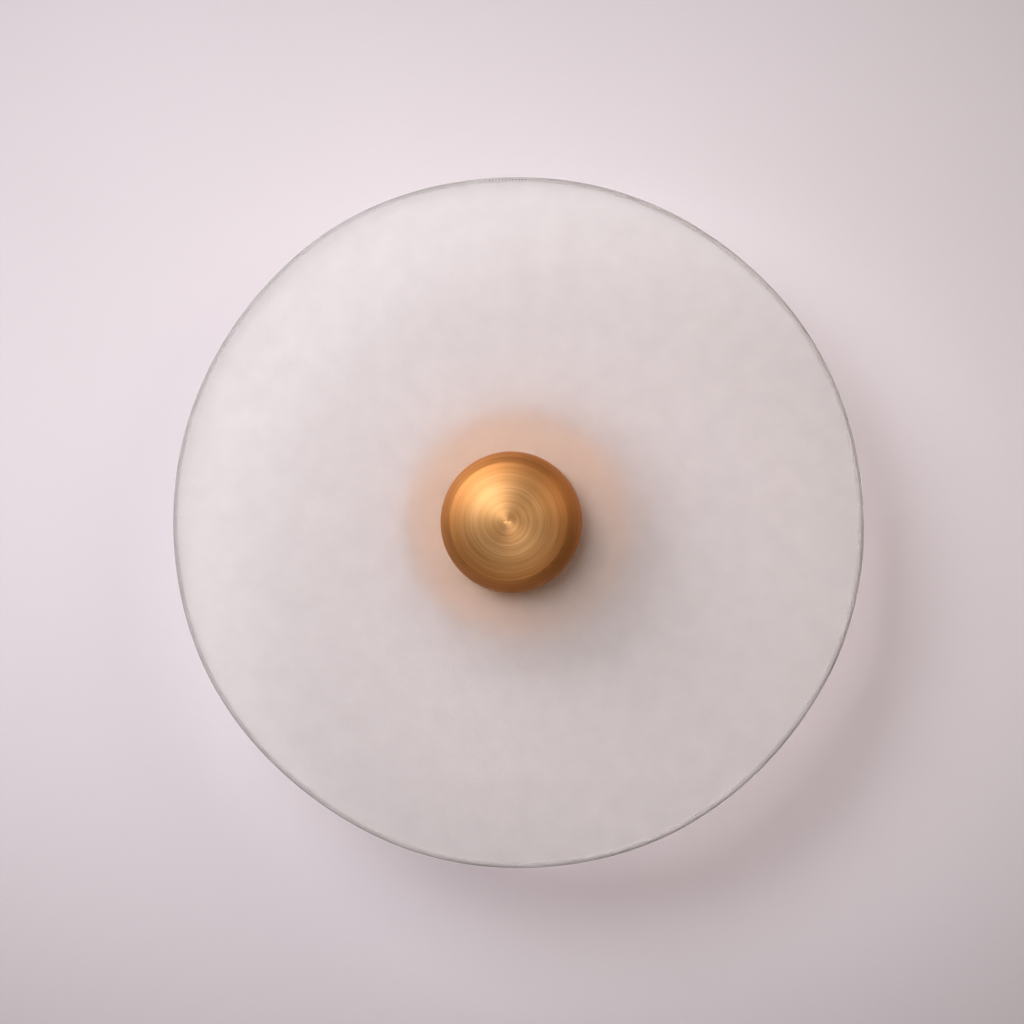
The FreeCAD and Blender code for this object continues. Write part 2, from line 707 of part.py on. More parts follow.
def repeat_round(body, name, feature, count):
    pattern = body.newObject("PartDesign::PolarPattern", name)
    pattern.Originals = [feature]
    pattern.Axis = (origin_part(body, "Z_Axis"), [""])
    pattern.Angle = 360
    bind(pattern, "Occurrences", count)
    body.Tip = pattern
    doc.recompute()


def make_lens():
    """Opal lens: a flat ring that fills the window, with a flange and a skirt behind it."""
    body = add_body("opal_lens")
    bore = sizes.spacer_diameter / 2 + sizes.lens_bore_clearance
    boss = sizes.window_diameter / 2 - sizes.window_clearance
    outer = sizes.window_diameter / 2 + sizes.lens_flange
    inner = outer - sizes.lens_skirt
    face = sizes.canopy_depth - sizes.lens_recess
    back = face - sizes.lens_thickness
    flange_back = canopy_inside - sizes.lens_flange_thickness
    turn_profile(body, "lens", [
        (bore, back),
        (boss - sizes.lens_skirt, back),
        (boss - sizes.lens_skirt, flange_back),
        (inner, flange_back),
        (inner, plate_front),
        (outer, plate_front),
        (outer, canopy_inside),
        (boss, canopy_inside),
        (boss, face),
        (bore, face),
    ])


# The stem and what it clamps


def make_stem():
    """Hollow threaded stem, held in the plate by a nut and a lock washer."""
    radius = sizes.stem_diameter / 2
    stem = add_body("stem")
    add_rings(stem, "stem", [(0, 0)], radius, sizes.stem_bore / 2, plate_front - sizes.stem_tail, stem_end)

    hole_radius = radius + sizes.thread_clearance
    washer_back = plate_back - sizes.lock_washer_thickness
    washer = add_body("stem_lock_washer")
    add_rings(washer, "washer", [(0, 0)], sizes.lock_washer_diameter / 2, hole_radius,
              washer_back, plate_back)

    nut = add_body("stem_nut")
    outline = add_sketch(nut, "nut_outline", height=washer_back - sizes.stem_nut_thickness)
    draw_hexagon(outline, 0, 0, sizes.stem_nut_flats)
    draw_circle(outline, 0, 0, hole_radius)
    add_pad(nut, "nut", outline, sizes.stem_nut_thickness)


def make_spacer_and_seat():
    """Tube that stands on the plate, and the flange on its end that the glass lies against."""
    spacer = add_body("spacer_tube")
    add_rings(spacer, "tube", [(0, 0)], sizes.spacer_diameter / 2, sizes.spacer_bore / 2,
              plate_front, seat_back)

    seat = add_body("rear_seat")
    bore = sizes.stem_diameter / 2 + sizes.bush_clearance
    pilot = sizes.spacer_bore / 2 - sizes.bush_clearance
    outer = sizes.seat_diameter / 2
    turn_profile(seat, "flange", [
        (bore, seat_back - sizes.seat_pilot_length),
        (pilot, seat_back - sizes.seat_pilot_length),
        (pilot, seat_back),
        (outer - sizes.seat_chamfer, seat_back),
        (outer, seat_back + sizes.seat_chamfer),
        (outer, seat_front),
        (bore, seat_front),
    ])


def make_glass_packing():
    """Silicone washers on both faces of the glass and the nylon bush in its hole."""
    hole = sizes.glass_hole_diameter / 2
    rear = add_body("rear_gasket")
    add_rings(rear, "gasket", [(0, 0)], sizes.rear_gasket_diameter / 2, hole, seat_front, glass_back)
    front = add_body("front_gasket")
    add_rings(front, "gasket", [(0, 0)], sizes.front_gasket_diameter / 2, hole, glass_front, nut_back)
    bush = add_body("glass_bush")
    bore = sizes.stem_diameter / 2 + sizes.bush_clearance
    add_rings(bush, "bush", [(0, 0)], hole - sizes.bush_clearance, bore,
              glass_back - sizes.bush_overhang, glass_front + sizes.bush_overhang)


def rim_point(angle):
    """Point of the rim at an angle in radians: a circle with four small waves on it."""
    radius = sizes.disc_diameter.value / 2
    waves = [
        (2, sizes.wave_two_height, sizes.wave_two_angle),
        (4, sizes.wave_four_height, sizes.wave_four_angle),
        (5, sizes.wave_five_height, sizes.wave_five_angle),
        (8, sizes.wave_eight_height, sizes.wave_eight_angle),
    ]
    for count, height, crest in waves:
        radius += height.value * math.cos(count * (angle - math.radians(crest.value)))
    return FreeCAD.Vector(
        sizes.rim_offset_x.value + radius * math.cos(angle),
        sizes.rim_offset_y.value + radius * math.sin(angle),
        glass_back.value,
    )


def make_glass_disc():
    """Cast glass disc: wavy rim with a rounded edge, and the drilled hole for the stem."""
    thickness = sizes.glass_thickness.value
    rim = Part.BSplineCurve()
    rim.interpolate(Points=[rim_point(2 * math.pi * step / RIM_POINTS) for step in range(RIM_POINTS)],
                    PeriodicFlag=True)
    disc = Part.Face(Part.Wire(rim.toShape())).extrude(FreeCAD.Vector(0, 0, thickness))
    rim_edges = [edge for edge in disc.Edges if edge.isClosed() and edge.BoundBox.ZLength < thickness / 2]
    rounding = (sizes.glass_thickness - sizes.rim_flat) / 2
    disc = disc.makeFillet(rounding.value, rim_edges)
    drill = Part.makeCylinder(sizes.glass_hole_diameter.value / 2, 3 * thickness,
                              FreeCAD.Vector(0, 0, glass_back.value - thickness))
    glass = doc.addObject("Part::Feature", "glass_disc")
    glass.Label = "glass_disc"
    glass.Shape = disc.cut(drill)
    glass.Placement = FreeCAD.Placement(FreeCAD.Vector(), WALL_TURN)


def make_glass_nut():
    """Knurled round nut on the stem, under the dome."""
    body = add_body("glass_nut")
    radius = sizes.glass_nut_diameter / 2
    bore = sizes.stem_diameter / 2 + sizes.thread_clearance
    add_rings(body, "nut", [(0, 0)], radius, bore, nut_back, nut_front)
    groove = cut_discs(body, "knurl_groove", [(radius, 0)], sizes.knurl_radius, nut_back, nut_front)
    repeat_round(body, "knurl", groove, sizes.knurl_count)


# Dome


def make_dome():
    """Turned brass dome: a low cap, a crease, a round shoulder and a short straight side.
    Its rim is turned out inside for the slip ring, and a flat under the cap takes the hub."""
    body = add_body("dome")
    outer = sizes.dome_diameter / 2
    inner = outer - sizes.dome_wall
    crease = sizes.dome_crease_diameter / 2
    crease_level = dome_rim + sizes.dome_crease_height
    side_top = dome_rim + sizes.dome_skirt
    cap_rise = sizes.dome_height - sizes.dome_crease_height
    inner_crease = crease - sizes.dome_wall / 2
    inner_crease_level = crease_level - sizes.dome_wall
    ring_seat = inner + sizes.slip_ring_seat
    turn_profile(body, "shell", [
        (0, hub_top),
        (sizes.hub_diameter / 2 + sizes.hub_pad, hub_top),
        (inner_crease, inner_crease_level, arc_radius(cap_rise, inner_crease), -1),
        (inner, side_top, arc_radius(inner - inner_crease, inner_crease_level - side_top), -1),
        (inner, ring_top),
        (ring_seat, ring_top),
        (ring_seat, dome_rim),
        (outer, dome_rim),
        (outer, side_top),
        (crease, crease_level, arc_radius(outer - crease, crease_level - side_top), 1),
        (0, dome_rim + sizes.dome_height, arc_radius(cap_rise, crease), 1),
    ])


def make_dome_hub():
    """Threaded hub soldered under the cap; it screws on to the stem's end."""
    body = add_body("dome_hub")
    outer = sizes.hub_diameter / 2
    bore = sizes.stem_diameter / 2 + sizes.thread_clearance
    bore_end = hub_top - sizes.hub_end_wall
    turn_profile(body, "hub", [
        (bore, hub_bottom),
        (outer, hub_bottom),
        (outer, hub_top),
        (0, hub_top),
        (0, bore_end),
        (bore, bore_end),
    ])


def make_slip_ring():
    """Plastic ring in the dome's rim: it lies on the glass and lets the dome turn on it."""
    body = add_body("dome_slip_ring")
    outer = sizes.dome_diameter / 2 - sizes.dome_wall + sizes.slip_ring_seat - sizes.thread_clearance
    add_rings(body, "ring", [(0, 0)], outer, outer - sizes.slip_ring_width, glass_front, ring_top)


# Driver, terminals and leads


def driver_screw_places():
    half = sizes.driver_screw_spacing / 2
    return [(-half, sizes.driver_place), (half, sizes.driver_place)]


def terminal_fixing_places():
    half = sizes.fixing_spacing / 2
    return [(-half, -sizes.terminal_place), (half, -sizes.terminal_place)]


def fixture_earth_place():
    return (sizes.earth_place_x, -sizes.earth_place_y)


def make_driver():
    """Potted driver on the back of the plate, and its two screws."""
    half = sizes.driver_length / 2
    half_width = sizes.driver_width / 2
    back = plate_back - sizes.driver_depth
    body = add_body("driver")
    outline = add_sketch(body, "case_outline", height=back)
    draw_rounded_rectangle(outline, -half, half, sizes.driver_place - half_width,
                           sizes.driver_place + half_width, sizes.driver_corner)
    add_pad(body, "case", outline, sizes.driver_depth)
    hole_radius = sizes.driver_screw_diameter / 2 + sizes.thread_clearance
    cut_discs(body, "screw_holes", driver_screw_places(), hole_radius, back, plate_back)
    make_plate_screws("driver_screws", driver_screw_places(), back)


def make_plate_screws(label, places, seat):
    """Screws through a case into the carrier plate; the driver and the terminals use the same."""
    make_screws(label, places, seat, plate_front - sizes.screw_tip_gap, sizes.driver_screw_diameter,
                sizes.driver_screw_head_diameter, sizes.driver_screw_head_height,
                sizes.screw_slot_width, sizes.screw_slot_depth)


def make_terminals():
    """Three-pole terminal block below the axis, its six pole screws and two fixings."""
    half = sizes.terminal_length / 2
    low = -sizes.terminal_place - sizes.terminal_width / 2
    high = low + sizes.terminal_width
    back = plate_back - sizes.terminal_depth
    pole_floor = back + sizes.terminal_screw_sink + sizes.terminal_screw_depth
    block = add_body("terminal_block")
    outline = add_sketch(block, "block_outline", height=back)
    draw_rectangle(outline, -half, half, low, high)
    add_pad(block, "block", outline, sizes.terminal_depth)

    grooves = add_sketch(block, "pole_groove_outlines", height=pole_floor)
    for side in (-1, 1):
        middle = sizes.terminal_pitch * (side / 2)
        draw_rectangle(grooves, middle - sizes.terminal_rib / 2, middle + sizes.terminal_rib / 2,
                       low - sizes.terminal_rib, high + sizes.terminal_rib)
    add_pocket(block, "pole_grooves", grooves, pole_floor - back)
    hole_radius = sizes.terminal_screw_diameter / 2 + sizes.thread_clearance
    cut_discs(block, "pole_holes", pole_places(), hole_radius, back, pole_floor)
    fixing_radius = sizes.driver_screw_diameter / 2 + sizes.thread_clearance
    cut_discs(block, "fixing_holes", terminal_fixing_places(), fixing_radius, back, plate_back)

    screws = add_body("terminal_screws", separate_solids=True)
    screw_back = back + sizes.terminal_screw_sink
    add_discs(screws, "pole_screws", pole_places(), sizes.terminal_screw_diameter / 2,
              screw_back, pole_floor)
    cut_driver_slots(screws, pole_places(), sizes.small_slot_width, sizes.small_slot_depth,
                     sizes.terminal_screw_diameter + sizes.slot_overrun * 2, screw_back, True)

    make_plate_screws("terminal_fixings", terminal_fixing_places(), back)


def pole_places():
    places = []
    for row in (-1, 1):
        y = sizes.terminal_screw_rows * (row / 2) - sizes.terminal_place
        for pole in (-1, 0, 1):
            places.append((sizes.terminal_pitch * pole if pole else 0, y))
    return places


def make_fixture_earth():
    """Screw and ring terminal that earth the carrier plate and, through it, the canopy."""
    place = fixture_earth_place()
    ring_back = plate_back - sizes.ring_thickness
    ring = add_body("earth_ring_terminal")
    add_discs(ring, "eye", [place], sizes.ring_diameter / 2, ring_back, plate_back)
    half_barrel = sizes.ring_barrel_diameter / 2
    tongue_root = place[0] - sizes.ring_diameter / 4
    tongue = add_sketch(ring, "tongue_outline", height=ring_back)
    draw_rectangle(tongue, barrel_end_x(), tongue_root, place[1] - half_barrel, place[1] + half_barrel)
    add_pad(ring, "tongue", tongue, sizes.ring_thickness)
    barrel = add_sketch(ring, "barrel_outline", height=plate_back - sizes.ring_barrel_diameter)
    draw_rectangle(barrel, barrel_end_x(), barrel_end_x() + sizes.ring_barrel_length,
                   place[1] - half_barrel, place[1] + half_barrel)
    add_pad(ring, "barrel", barrel, sizes.ring_barrel_diameter)
    hole_radius = sizes.earth_screw_diameter / 2 + sizes.thread_clearance
    cut_discs(ring, "eye_hole", [place], hole_radius, ring_back, plate_back)
    make_screws("fixture_earth_screw", [place], ring_back, plate_front - sizes.screw_tip_gap,
                sizes.earth_screw_diameter, sizes.earth_screw_head_diameter, sizes.earth_screw_head_height,
                sizes.screw_slot_width, sizes.screw_slot_depth)


def barrel_end_x():
    """Where the earth lead meets the ring terminal's barrel."""
    eye = sizes.ring_diameter / 2
    return sizes.earth_place_x - eye - sizes.ring_barrel_length - sizes.contact_gap


def make_lead(label, points, diameter):
    """Round lead along straight runs joined by tangent arcs, each as large as its runs allow."""
    edges = []
    radii = []
    start = points[0]
    for before, corner, after in zip(points, points[1:], points[2:]):
        into = (corner - before).normalize()
        out = (after - corner).normalize()
        half_turn = into.getAngle(out) / 2
        shorter = min((corner - before).Length, (after - corner).Length)
        setback = LEAD_ARC_SHARE * shorter
        radius = setback / math.tan(half_turn)
        radii.append(radius)
        centre = corner + (out - into).normalize() * (radius / math.cos(half_turn))
        arc_start = corner - into * setback
        arc_end = corner + out * setback
        middle = centre + (corner - centre).normalize() * radius
        edges.append(Part.LineSegment(start, arc_start).toShape())
        edges.append(Part.Arc(arc_start, middle, arc_end).toShape())
        start = arc_end
    edges.append(Part.LineSegment(start, points[-1]).toShape())
    path = Part.Wire(edges)
    circle = Part.Circle(points[0], points[1] - points[0], diameter / 2)
    section = Part.Wire([circle.toShape()])
    tube = path.makePipeShell([section], True, False)
    expected = math.pi * (diameter / 2) ** 2 * path.Length
    print("%s: length %.1f, bend radii %s, volume %.2f of %.2f"
          % (label, path.Length, " ".join("%.1f" % radius for radius in radii), tube.Volume, expected))
    if abs(tube.Volume - expected) > 0.01 * expected:
        raise ValueError("volume of %s is not its section times its length" % label)
    lead = doc.addObject("Part::Feature", label)
    lead.Label = label
    lead.Shape = tube
    lead.Placement = FreeCAD.Placement(FreeCAD.Vector(), WALL_TURN)


def make_mains_leads():
    """Line and neutral, from the terminal block up past the stem to the driver."""
    level = sizes.lead_level.value
    bow = sizes.lead_bow.value
    sag = sizes.lead_sag.value
    block_top = sizes.terminal_width.value / 2 - sizes.terminal_place.value
    driver_bottom = sizes.driver_place.value - sizes.driver_width.value / 2
    span = driver_bottom - block_top
    for label, x, side in (("line_lead", -sizes.terminal_pitch.value, -1), ("neutral_lead", 0.0, 1)):
        make_lead(label, [
            FreeCAD.Vector(x, block_top, level),
            FreeCAD.Vector(x, block_top + span / 4, level),
            FreeCAD.Vector(x + side * bow, block_top + span / 2, level - sag),
            FreeCAD.Vector(x + side * bow / 2, block_top + 3 * span / 4, level),
            FreeCAD.Vector(x + side * bow / 2, driver_bottom, level),
        ], sizes.lead_diameter.value)


def make_led_leads():
    """Two thin leads from the driver to the connector behind the light board."""
    level = sizes.lead_level.value
    driver_bottom = sizes.driver_place.value - sizes.driver_width.value / 2
    connector_back = plate_front.value - sizes.connector_depth.value
    middle = -sizes.connector_radius.value
    for label, side in (("led_lead_positive", -1), ("led_lead_negative", 1)):
        x = middle + side * sizes.led_lead_spacing.value / 2
        make_lead(label, [
            FreeCAD.Vector(x, driver_bottom, level),
            FreeCAD.Vector(x, 0, level),
            FreeCAD.Vector(x, 0, connector_back),
        ], sizes.led_lead_diameter.value)


def make_earth_lead():
    """Earth lead from the terminal block to the ring terminal beside it."""
    level = sizes.lead_level.value
    x = sizes.terminal_pitch.value
    block_top = sizes.terminal_width.value / 2 - sizes.terminal_place.value
    y = -sizes.earth_place_y.value
    end_level = plate_back.value - sizes.ring_barrel_diameter.value / 2
    end_x = barrel_end_x().value
    rise = sizes.lead_diameter.value * 2
    make_lead("earth_lead", [
        FreeCAD.Vector(x, block_top, level),
        FreeCAD.Vector(x, block_top + rise, level),
        FreeCAD.Vector((x + end_x - rise) / 2, y, (level + end_level) / 2),
        FreeCAD.Vector(end_x - rise, y, end_level),
        FreeCAD.Vector(end_x, y, end_level),
    ], sizes.lead_diameter.value)


# Writing


def check_model():
    """Stop if any object failed, or a cut took nothing away."""
    for item in doc.Objects:
        if "Invalid" in item.State or "Error" in item.State:
            raise ValueError("%s failed to compute" % item.Name)
        if item.TypeId == "PartDesign::Pocket":
            if item.Shape.Volume >= item.BaseFeature.Shape.Volume:
                raise ValueError("%s cuts nothing" % item.Name)


def write_parts():
    os.makedirs("parts", exist_ok=True)
    sub_parts = [item for item in doc.Objects if item.TypeId in ("PartDesign::Body", "Part::Feature")]
    for item in sub_parts:
        shape = item.Shape
        if shape.isNull() or not shape.isValid() or not shape.Solids:
            raise ValueError("%s has no valid solid" % item.Label)
        print("%-22s %2d solids %10.1f mm3" % (item.Label, len(shape.Solids), shape.Volume))
    for item in sub_parts:
        item.Shape.exportStep("parts/%s.step" % item.Label)
    print("%d parts" % len(sub_parts))


WALL_TURN = FreeCAD.Rotation(FreeCAD.Vector(1, 0, 0), 90)
doc = FreeCAD.newDocument("disc_wall_light")
fill_sheet(doc, DRIVING_SIZES)
sizes = SizeBook(DRIVING_SIZES)

wall_level = Size(0, "0")
no_margin = Size(0, "0")

# Levels along the light's axis, counted from the wall
canopy_inside = sizes.canopy_depth - sizes.canopy_wall
plate_front = canopy_inside - sizes.chamber_depth
plate_back = plate_front - sizes.plate_thickness
seat_back = plate_front + sizes.spacer_length
seat_front = seat_back + sizes.seat_thickness
glass_back = seat_front + sizes.gasket_thickness
glass_front = glass_back + sizes.glass_thickness
nut_back = glass_front + sizes.gasket_thickness
nut_front = nut_back + sizes.glass_nut_thickness
dome_rim = glass_front + sizes.dome_gap
ring_top = glass_front + sizes.slip_ring_height
hub_bottom = nut_front + sizes.hub_gap
hub_top = dome_rim + sizes.dome_height - sizes.dome_wall - sizes.hub_pad
stem_end = hub_top - sizes.hub_end_wall - sizes.hub_end_gap

plate_radius = sizes.canopy_diameter / 2 - sizes.canopy_wall - sizes.plate_clearance

# Outer face of the bracket's ears: their corners keep their clearance from the round canopy
canopy_bore = sizes.canopy_diameter / 2 - sizes.canopy_wall - sizes.bracket_clearance
ear_face = (canopy_bore * canopy_bore - sizes.bracket_width * sizes.bracket_width / 4).root()

make_wall_bracket()
make_bracket_earth()
make_side_screw("left", -1)
make_side_screw("right", 1)
make_canopy()
make_studs()
make_carrier_plate()
make_light_board()
make_lens()
make_stem()
make_spacer_and_seat()
make_glass_packing()
make_glass_disc()
make_glass_nut()
make_dome()
make_dome_hub()
make_slip_ring()
make_driver()
make_terminals()
make_fixture_earth()
make_mains_leads()
make_led_leads()
make_earth_lead()

doc.recompute()
check_model()
write_parts()
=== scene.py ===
import math
import bpy
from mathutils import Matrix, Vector


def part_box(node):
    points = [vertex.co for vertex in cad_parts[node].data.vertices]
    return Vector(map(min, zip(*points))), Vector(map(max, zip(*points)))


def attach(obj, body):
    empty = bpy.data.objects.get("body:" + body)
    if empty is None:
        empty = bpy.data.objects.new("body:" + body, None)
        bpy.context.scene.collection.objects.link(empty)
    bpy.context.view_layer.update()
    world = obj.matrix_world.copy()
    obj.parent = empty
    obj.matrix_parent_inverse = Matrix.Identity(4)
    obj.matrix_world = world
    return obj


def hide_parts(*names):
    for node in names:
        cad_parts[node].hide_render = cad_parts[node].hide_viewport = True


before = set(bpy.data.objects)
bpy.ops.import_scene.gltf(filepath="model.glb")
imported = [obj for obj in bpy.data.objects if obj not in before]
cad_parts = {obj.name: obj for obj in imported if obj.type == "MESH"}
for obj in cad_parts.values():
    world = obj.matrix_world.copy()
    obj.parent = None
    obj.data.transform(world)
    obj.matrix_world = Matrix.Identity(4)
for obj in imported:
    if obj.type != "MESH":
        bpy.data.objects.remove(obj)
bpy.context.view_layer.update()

# Disc wall light: satin cast glass on a brushed brass canopy, clamped by a turned brass dome.
# The wall is the plane y = 0, the light stands at y < 0, and everything is in metres.
print("frame loaded:", len(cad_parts), "nodes")

scene = bpy.context.scene
quarterTurn = math.pi / 2


# Small helpers

def deselectAll():
    if bpy.context.object and bpy.context.object.mode != "OBJECT":
        bpy.ops.object.mode_set(mode="OBJECT")
    bpy.ops.object.select_all(action="DESELECT")


def editAll():
    bpy.ops.object.mode_set(mode="EDIT")
    bpy.ops.mesh.select_all(action="SELECT")


def leaveEdit():
    bpy.ops.object.mode_set(mode="OBJECT")


def addNode(tree, kind, place=(0, 0), **settings):
    node = tree.nodes.new(kind)
    node.location = place
    for name, value in settings.items():
        setattr(node, name, value)
    return node


def feed(tree, source, target):
    tree.links.new(source, target)


def setOrFeed(tree, value, socket):
    if isinstance(value, (int, float)):
        socket.default_value = value
    else:
        feed(tree, value, socket)


socketNames = {
    "metallic": "Metallic", "roughness": "Roughness", "ior": "IOR",
    "transmission": "Transmission Weight", "anisotropic": "Anisotropic",
    "anisotropicRotation": "Anisotropic Rotation", "specular": "Specular IOR Level",
    "subsurface": "Subsurface Weight", "subsurfaceScale": "Subsurface Scale",
}


def startMaterial(name, **surface):
    material = bpy.data.materials.new(name)
    material.use_nodes = True
    shader = material.node_tree.nodes["Principled BSDF"]
    for socket, value in surface.items():
        shader.inputs[socketNames[socket]].default_value = value
    return material, material.node_tree, shader


def mathNode(tree, operation, *values):
    node = addNode(tree, "ShaderNodeMath", operation=operation)
    for index, value in enumerate(values):
        setOrFeed(tree, value, node.inputs[index])
    return node.outputs[0]


def noiseNode(tree, vector, scale, detail=2.0, roughness=0.5):
    node = addNode(tree, "ShaderNodeTexNoise")
    node.inputs["Detail"].default_value = detail
    node.inputs["Roughness"].default_value = roughness
    feed(tree, vector, node.inputs["Vector"])
    setOrFeed(tree, scale, node.inputs["Scale"])
    return node.outputs[0]


def splitVector(tree, vector):
    node = addNode(tree, "ShaderNodeSeparateXYZ", (-700, 300))
    feed(tree, vector, node.inputs[0])
    return node.outputs


def distanceFromAxis(tree, x, z):
    squares = mathNode(tree, "ADD", mathNode(tree, "MULTIPLY", x, x), mathNode(tree, "MULTIPLY", z, z))
    return mathNode(tree, "SQRT", squares)


def multiplyColors(tree, factor, first, second):
    # a Mix node keeps its colour sockets at these places
    firstColor, secondColor, resultColor = 6, 7, 2
    node = addNode(tree, "ShaderNodeMix", (0, 400), data_type="RGBA", blend_type="MULTIPLY")
    setOrFeed(tree, factor, node.inputs[0])
    feed(tree, first, node.inputs[firstColor])
    if isinstance(second, tuple):
        node.inputs[secondColor].default_value = (*second, 1)
    else:
        feed(tree, second, node.inputs[secondColor])
    return node.outputs[resultColor]


def clearWhere(tree, shader, condition, color=(1, 1, 1)):
    # the surface lets light straight through where the condition holds
    clear = addNode(tree, "ShaderNodeBsdfTransparent", (100, -200))
    clear.inputs["Color"].default_value = (*color, 1)
    mix = addNode(tree, "ShaderNodeMixShader", (400, 200))
    for source, target in zip((condition, shader.outputs[0], clear.outputs[0]), mix.inputs):
        feed(tree, source, target)
    feed(tree, mix.outputs[0], tree.nodes["Material Output"].inputs["Surface"])


# Effects that several materials share

def startGroup(name, inputs, outputs):
    group = bpy.data.node_groups.new(name, "ShaderNodeTree")
    for socket, kind, value in inputs:
        made = group.interface.new_socket(socket, in_out="INPUT", socket_type="NodeSocket" + kind)
        if value is not None:
            made.default_value = value
    for socket in outputs:
        group.interface.new_socket(socket, in_out="OUTPUT", socket_type="NodeSocketFloat")
    return group, addNode(group, "NodeGroupInput", (-900, 0)), addNode(group, "NodeGroupOutput", (700, 0))


ringNoise = {"detail": 3.0, "roughness": 0.65, "bandScale": 0.16, "axisGap": 0.00001}
brushNoise = {"detail": 4.0, "roughness": 0.7, "cloudScale": 60.0, "cloudDetail": 3.0}
grainNoise = {"detail": 2.0, "cloudDetail": 3.0}


def buildTurnedRings():
    # lines left by turning or spinning round the Y axis: fine rings, and broad soft bands
    tree, given, result = startGroup(
        "turnedRings",
        [("Vector", "Vector", None), ("Rings", "Float", 1500.0), ("Streaks", "Float", 1.5)],
        ["Fine", "Bands"])
    x, y, z = splitVector(tree, given.outputs["Vector"])
    radius = mathNode(tree, "ADD", distanceFromAxis(tree, x, z), ringNoise["axisGap"])
    profile = mathNode(tree, "SUBTRACT", radius, y)
    around = addNode(tree, "ShaderNodeCombineXYZ", (-200, 0))
    for axis, value in enumerate((x, z)):
        turned = mathNode(tree, "DIVIDE", value, radius)
        feed(tree, mathNode(tree, "MULTIPLY", turned, given.outputs["Streaks"]), around.inputs[axis])
    feed(tree, mathNode(tree, "MULTIPLY", profile, given.outputs["Rings"]), around.inputs["Z"])
    fine = noiseNode(tree, around.outputs[0], 1.0, ringNoise["detail"], ringNoise["roughness"])
    feed(tree, fine, result.inputs["Fine"])
    feed(tree, noiseNode(tree, around.outputs[0], ringNoise["bandScale"]), result.inputs["Bands"])
    return tree


def buildStraightBrush():
    # long scratches along one direction, from rolling or brushing
    tree, given, result = startGroup(
        "straightBrush",
        [("Vector", "Vector", None), ("Along", "Vector", (30.0, 2500.0, 2500.0))],
        ["Lines", "Clouds"])
    vector = given.outputs["Vector"]
    stretch = addNode(tree, "ShaderNodeVectorMath", (-500, 0), operation="MULTIPLY")
    feed(tree, vector, stretch.inputs[0])
    feed(tree, given.outputs["Along"], stretch.inputs[1])
    lines = noiseNode(tree, stretch.outputs[0], 1.0, brushNoise["detail"], brushNoise["roughness"])
    clouds = noiseNode(tree, vector, brushNoise["cloudScale"], brushNoise["cloudDetail"])
    feed(tree, lines, result.inputs["Lines"])
    feed(tree, clouds, result.inputs["Clouds"])
    return tree


def buildFineGrain():
    # grain of moulded plastic or etched glass, with slow variation under it
    tree, given, result = startGroup(
        "fineGrain",
        [("Vector", "Vector", None), ("Grain", "Float", 3000.0), ("Clouds", "Float", 40.0)],
        ["Grain", "Clouds"])
    vector = given.outputs["Vector"]
    grain = noiseNode(tree, vector, given.outputs["Grain"], grainNoise["detail"])
    clouds = noiseNode(tree, vector, given.outputs["Clouds"], grainNoise["cloudDetail"])
    feed(tree, grain, result.inputs["Grain"])
    feed(tree, clouds, result.inputs["Clouds"])
    return tree


turnedRings = buildTurnedRings()
straightBrush = buildStraightBrush()
fineGrain = buildFineGrain()


def placeGroup(tree, group, vector, **values):
    node = addNode(tree, "ShaderNodeGroup", (-600, 0))
    node.node_tree = group
    feed(tree, vector, node.inputs["Vector"])
    for name, value in values.items():
        node.inputs[name].default_value = value
    return node


def objectVector(tree, location=(0, 0, 0), rotation=(0, 0, 0)):
    coordinates = addNode(tree, "ShaderNodeTexCoord", (-1100, 0))
    mapping = addNode(tree, "ShaderNodeMapping", (-900, 0))
    mapping.inputs["Location"].default_value = location
    mapping.inputs["Rotation"].default_value = rotation
    feed(tree, coordinates.outputs["Object"], mapping.inputs["Vector"])
    return mapping.outputs[0]


def mixColors(tree, factor, dark, light, low=0.3, high=0.7):
    ramp = addNode(tree, "ShaderNodeValToRGB", (-300, 200))
    for element, position, color in zip(ramp.color_ramp.elements, (low, high), (dark, light)):
        element.position = position
        element.color = (*color, 1)
    feed(tree, factor, ramp.inputs[0])
    return ramp.outputs[0]


def mapRange(tree, value, sourceLow, sourceHigh, low, high, **settings):
    node = addNode(tree, "ShaderNodeMapRange", (-300, 0), **settings)
    for socket, bound in zip(("From Min", "From Max", "To Min", "To Max"),
                             (sourceLow, sourceHigh, low, high)):
        node.inputs[socket].default_value = bound
    feed(tree, value, node.inputs["Value"])
    return node.outputs[0]


noiseRange = (0.25, 0.75)


def roughnessFrom(tree, shader, value, low, high):
    feed(tree, mapRange(tree, value, *noiseRange, low, high), shader.inputs["Roughness"])


def bumpFrom(tree, shader, height, distance):
    bump = addNode(tree, "ShaderNodeBump", (-200, -300))
    bump.inputs["Distance"].default_value = distance
    bump.inputs["Strength"].default_value = 1.0
    feed(tree, height, bump.inputs["Height"])
    feed(tree, bump.outputs[0], shader.inputs["Normal"])


# Metals: dark and light colour, roughness from and to, and how deep the lines are

zinc = ((0.48, 0.49, 0.50), (0.66, 0.67, 0.68))
rawBrass = ((0.68, 0.48, 0.20), (0.82, 0.62, 0.30))
canopyBrass = ((0.60, 0.27, 0.08), (0.76, 0.37, 0.12))
streaksAround = 0.55

